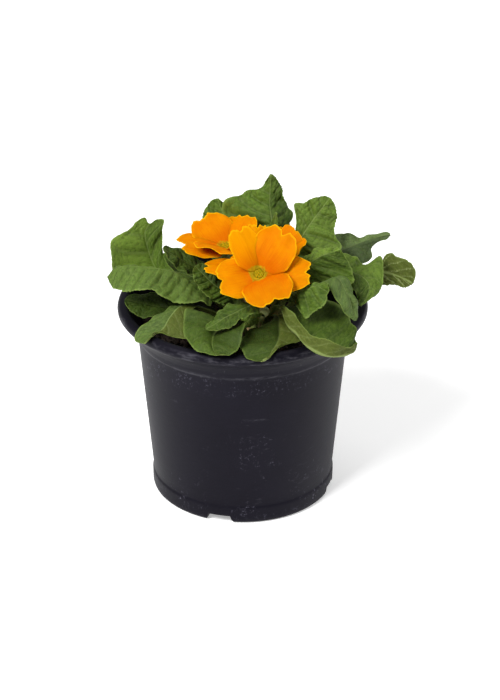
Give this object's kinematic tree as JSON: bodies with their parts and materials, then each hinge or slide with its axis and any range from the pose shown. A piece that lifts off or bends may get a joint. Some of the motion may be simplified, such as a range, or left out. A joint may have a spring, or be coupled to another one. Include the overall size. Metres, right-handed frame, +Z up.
{
  "type": "potted primrose",
  "caption": "Orange-flowered primrose in a round plastic nursery pot: soil, a short crown, a rosette of wrinkled toothed leaves and stalked open blooms.",
  "frame": {"origin": "the middle of the pot's underside, on the pot's axis, at the height of its foot", "axes": "+Z up along the pot's axis; -Y towards the front of the plant, the side its largest bloom faces; +X to the plant's right as seen from the front"},
  "size_m": [0.1466, 0.1282, 0.1484],
  "materials": {
    "pot": "matte charcoal moulded plastic with dust and pale scuffs",
    "soil": "crumbly moist peat compost with fibres and a few pale grits",
    "crown": "pale green leaf bases, pinkish brown at the soil",
    "leaf": "matte wrinkled leaf with pale midrib, side veins and short hairs",
    "petal": "velvety orange petal with a brighter yellow-orange margin",
    "eye": "yellow-green flower throat",
    "stalk": "downy pale green flower stalk and calyx"
  },
  "bodies": {
    "root": {"pot": "pot", "soil": "soil", "crown": "crown", "leaf_f1": "leaf", "leaf_f2": "leaf", "leaf_f3": "leaf", "leaf_f4": "leaf", "leaf_f5": "leaf", "leaf_f6": "leaf", "leaf_r1": "leaf", "leaf_r2": "leaf", "leaf_r3": "leaf", "leaf_r4": "leaf", "leaf_r5": "leaf", "leaf_r6": "leaf", "leaf_r7": "leaf", "leaf_l1": "leaf", "leaf_l2": "leaf", "leaf_l3": "leaf", "leaf_l4": "leaf", "leaf_l5": "leaf", "leaf_b1": "leaf", "leaf_b2": "leaf", "leaf_b3": "leaf", "leaf_k1": "leaf", "leaf_k2": "leaf", "leaf_k3": "leaf", "leaf_k4": "leaf", "bloom_a_corolla": "petal", "bloom_a_eye": "eye", "bloom_a_stalk": "stalk", "bloom_b_corolla": "petal", "bloom_b_eye": "eye", "bloom_b_stalk": "stalk", "bloom_c_corolla": "petal", "bloom_c_eye": "eye", "bloom_c_stalk": "stalk", "bloom_d_corolla": "petal", "bloom_d_eye": "eye", "bloom_d_stalk": "stalk"}
  },
  "joints": []
}
